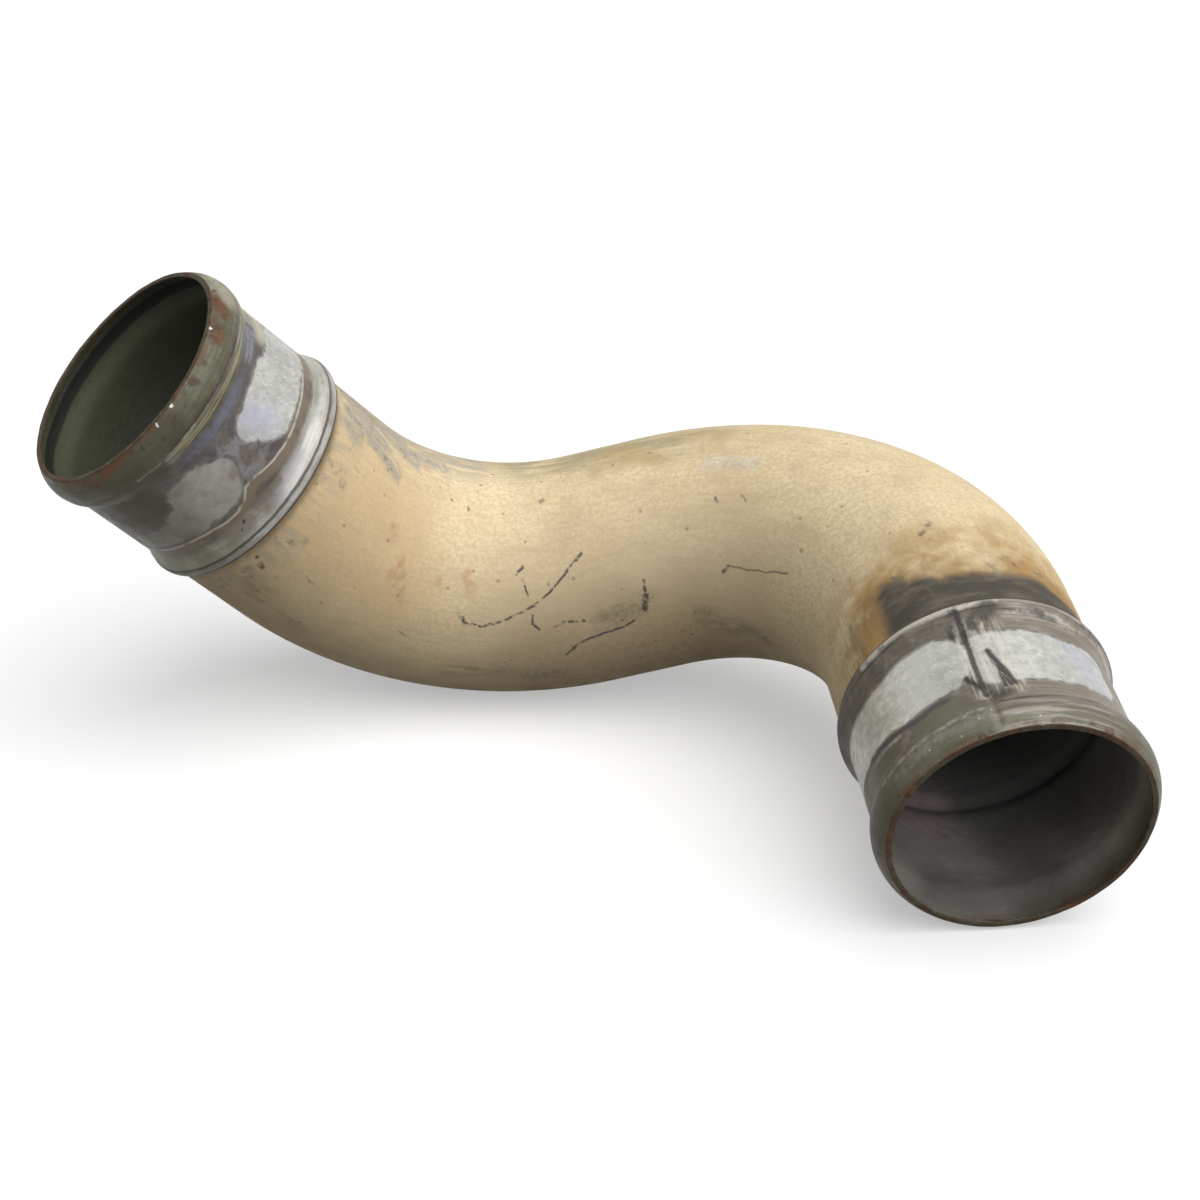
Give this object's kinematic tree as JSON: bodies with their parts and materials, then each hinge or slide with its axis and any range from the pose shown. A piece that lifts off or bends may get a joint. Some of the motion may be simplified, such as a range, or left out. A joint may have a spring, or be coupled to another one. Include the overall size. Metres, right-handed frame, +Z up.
{
  "type": "coolant pipe",
  "caption": "Bent steel coolant pipe with a rolled lip bead and stop bead at each end, tan paint over the bends and bare, stained hose seats.",
  "frame": {"origin": "under the middle of the pipe's box, on the surface that it lies on", "axes": "+Z up as the pipe lies at rest, +X along its longest reach from the first mouth to the second, the picture looks along +Y"},
  "size_m": [0.3282, 0.2008, 0.1481],
  "materials": {
    "painted_steel": "worn tan paint over the bends, bare and stained steel on both hose ends"
  },
  "bodies": {
    "root": {"coolant_pipe": "painted_steel"}
  },
  "joints": []
}
